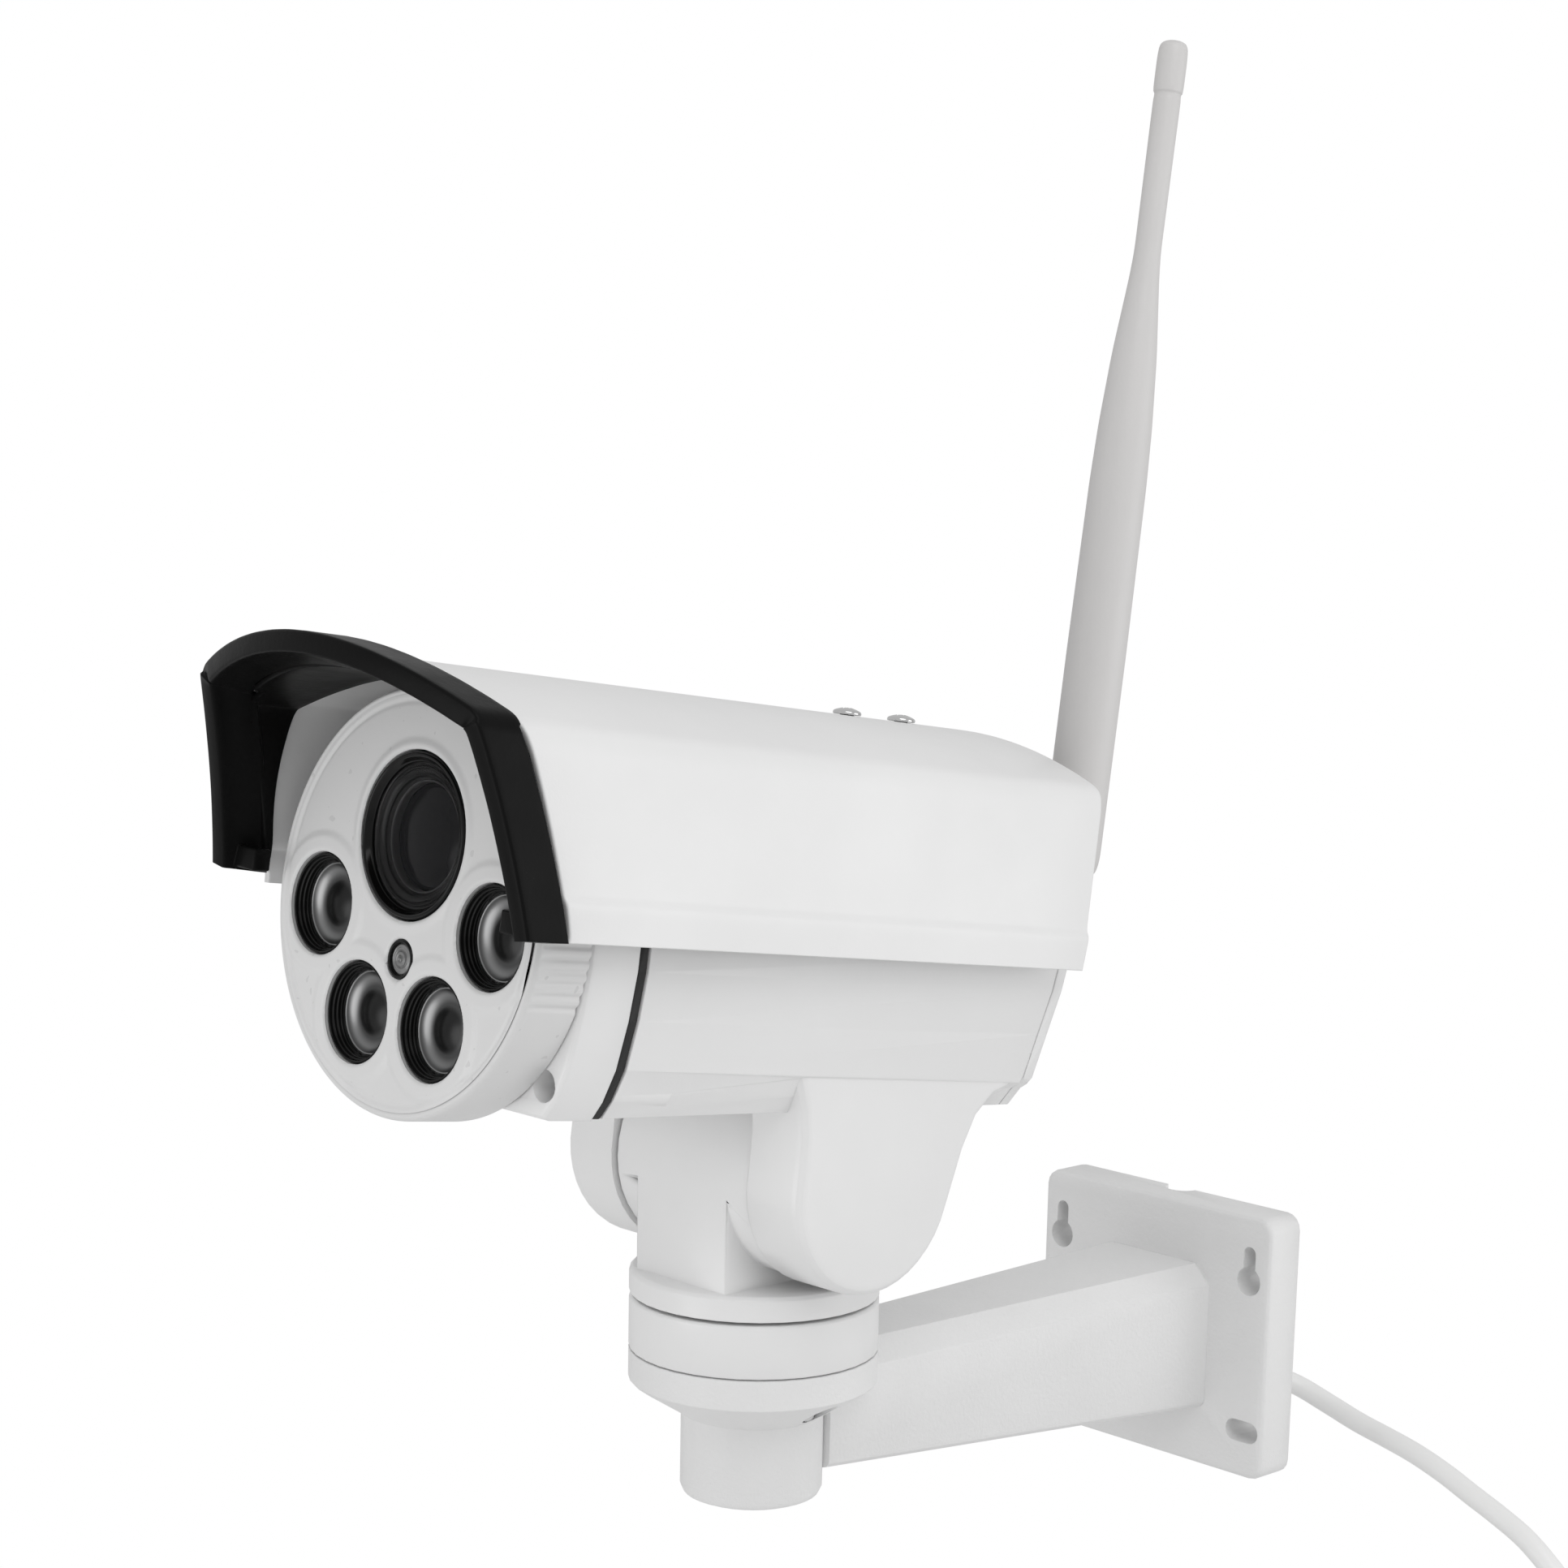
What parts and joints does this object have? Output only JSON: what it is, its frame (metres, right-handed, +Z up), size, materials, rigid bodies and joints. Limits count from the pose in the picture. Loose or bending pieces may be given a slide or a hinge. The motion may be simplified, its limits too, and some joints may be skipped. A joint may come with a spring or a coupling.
{
  "type": "security camera",
  "caption": "Outdoor pan and tilt bullet camera with sunshield, infrared lamps, whip antenna and cable tail on a tapered wall arm.",
  "frame": {"origin": "centre of the wall plate's back face, on the wall plane", "axes": "+Z up, +Y into the wall, so the camera looks along -Y at rest; +X is to the right for someone facing the camera's front"},
  "size_m": [0.1778, 0.3153, 0.5527],
  "materials": {
    "white_paint": "satin white powder coat over aluminium",
    "cast_paint": "textured white powder coat over an aluminium die casting",
    "black_plastic": "satin black moulding",
    "rubber": "soft black",
    "lens_glass": "coated dark glass",
    "reflector": "bright cup behind a dark dome",
    "circuit_board": "glass-epoxy board",
    "steel": "turned steel",
    "chrome": "polished screw heads",
    "brass": "turned brass",
    "gear_plastic": "acetal",
    "antenna_plastic": "satin light grey moulding",
    "white_cable": "white PVC jacket"
  },
  "bodies": {
    "bracket": {"wall_bracket": "cast_paint", "set_screw_left": "steel", "set_screw_right": "steel", "pan_base": "white_paint", "pan_bearing": "steel", "pan_ring_gear": "gear_plastic", "cable_gland": "rubber", "cable": "white_cable", "cable_coil": "white_cable", "cable_splitter": "white_cable", "network_tail": "white_cable", "power_tail": "white_cable", "network_socket": "black_plastic", "power_jack": "black_plastic"},
    "neck": {"neck_housing": "white_paint", "pan_shaft": "steel", "pan_motor": "steel", "tilt_motor": "steel", "tilt_bush_left": "brass", "tilt_bush_right": "brass"},
    "pan_drive": {"pan_pinion": "brass"},
    "tilt_drive": {"tilt_pinion": "brass"},
    "head": {"camera_housing": "white_paint", "rear_cover": "white_paint", "front_flange": "white_paint", "front_gasket": "rubber", "front_bezel": "white_paint", "flange_screw_1": "steel", "flange_screw_2": "steel", "flange_screw_3": "steel", "flange_screw_4": "steel", "lens_trim": "black_plastic", "lens_window": "lens_glass", "lens_barrel": "black_plastic", "front_element": "lens_glass", "sensor_board": "circuit_board", "lamp_board": "circuit_board", "main_board": "circuit_board", "light_sensor": "lens_glass", "ir_lamp_1": "reflector", "ir_lamp_2": "reflector", "ir_lamp_3": "reflector", "ir_lamp_4": "reflector", "sunshield": "white_paint", "visor": "black_plastic", "shield_screw_front": "chrome", "shield_screw_rear": "chrome", "tilt_shaft": "steel", "tilt_gear": "gear_plastic", "antenna_socket": "brass"},
    "focus_cell": {"focus_group": "lens_glass"},
    "antenna_swivel": {"antenna_sleeve": "antenna_plastic"},
    "antenna": {"antenna_whip": "antenna_plastic"}
  },
  "joints": [
    {"name": "pan", "type": "hinge", "parent": "bracket", "child": "neck", "pos_m": [0, -0.15, 0.0325], "axis": [0, 0, 1], "range_deg": [-135, 135]},
    {"name": "tilt", "type": "hinge", "parent": "neck", "child": "head", "pos_m": [0, -0.15, 0.063], "axis": [1, 0, 0], "range_deg": [-30, 60]},
    {"name": "pan_pinion_spin", "type": "hinge", "parent": "neck", "child": "pan_drive", "pos_m": [0, -0.1626, 0.029], "axis": [0, 0, 1], "range_deg": [-610, 610]},
    {"name": "tilt_pinion_spin", "type": "hinge", "parent": "neck", "child": "tilt_drive", "pos_m": [0, -0.15, 0.075], "axis": [1, 0, 0], "range_deg": [-142, 72]},
    {"name": "focus", "type": "slide", "parent": "head", "child": "focus_cell", "axis": [0, 0.9907, -0.1357], "range_m": [-0.008, 0.012]},
    {"name": "antenna_turn", "type": "hinge", "parent": "head", "child": "antenna_swivel", "pos_m": [0.0224, -0.07577, 0.11491], "axis": [0, 0.9907, -0.1357], "range_deg": [-90, 90]},
    {"name": "antenna_fold", "type": "hinge", "parent": "antenna_swivel", "child": "antenna", "pos_m": [0.0224, -0.07577, 0.11491], "axis": [1, 0, 0], "range_deg": [-90, 0]}
  ],
  "couplings": [
    {"joint": "pan_pinion_spin", "follows": "pan", "ratio": -4.5},
    {"joint": "tilt_pinion_spin", "follows": "tilt", "ratio": -2.3333}
  ]
}
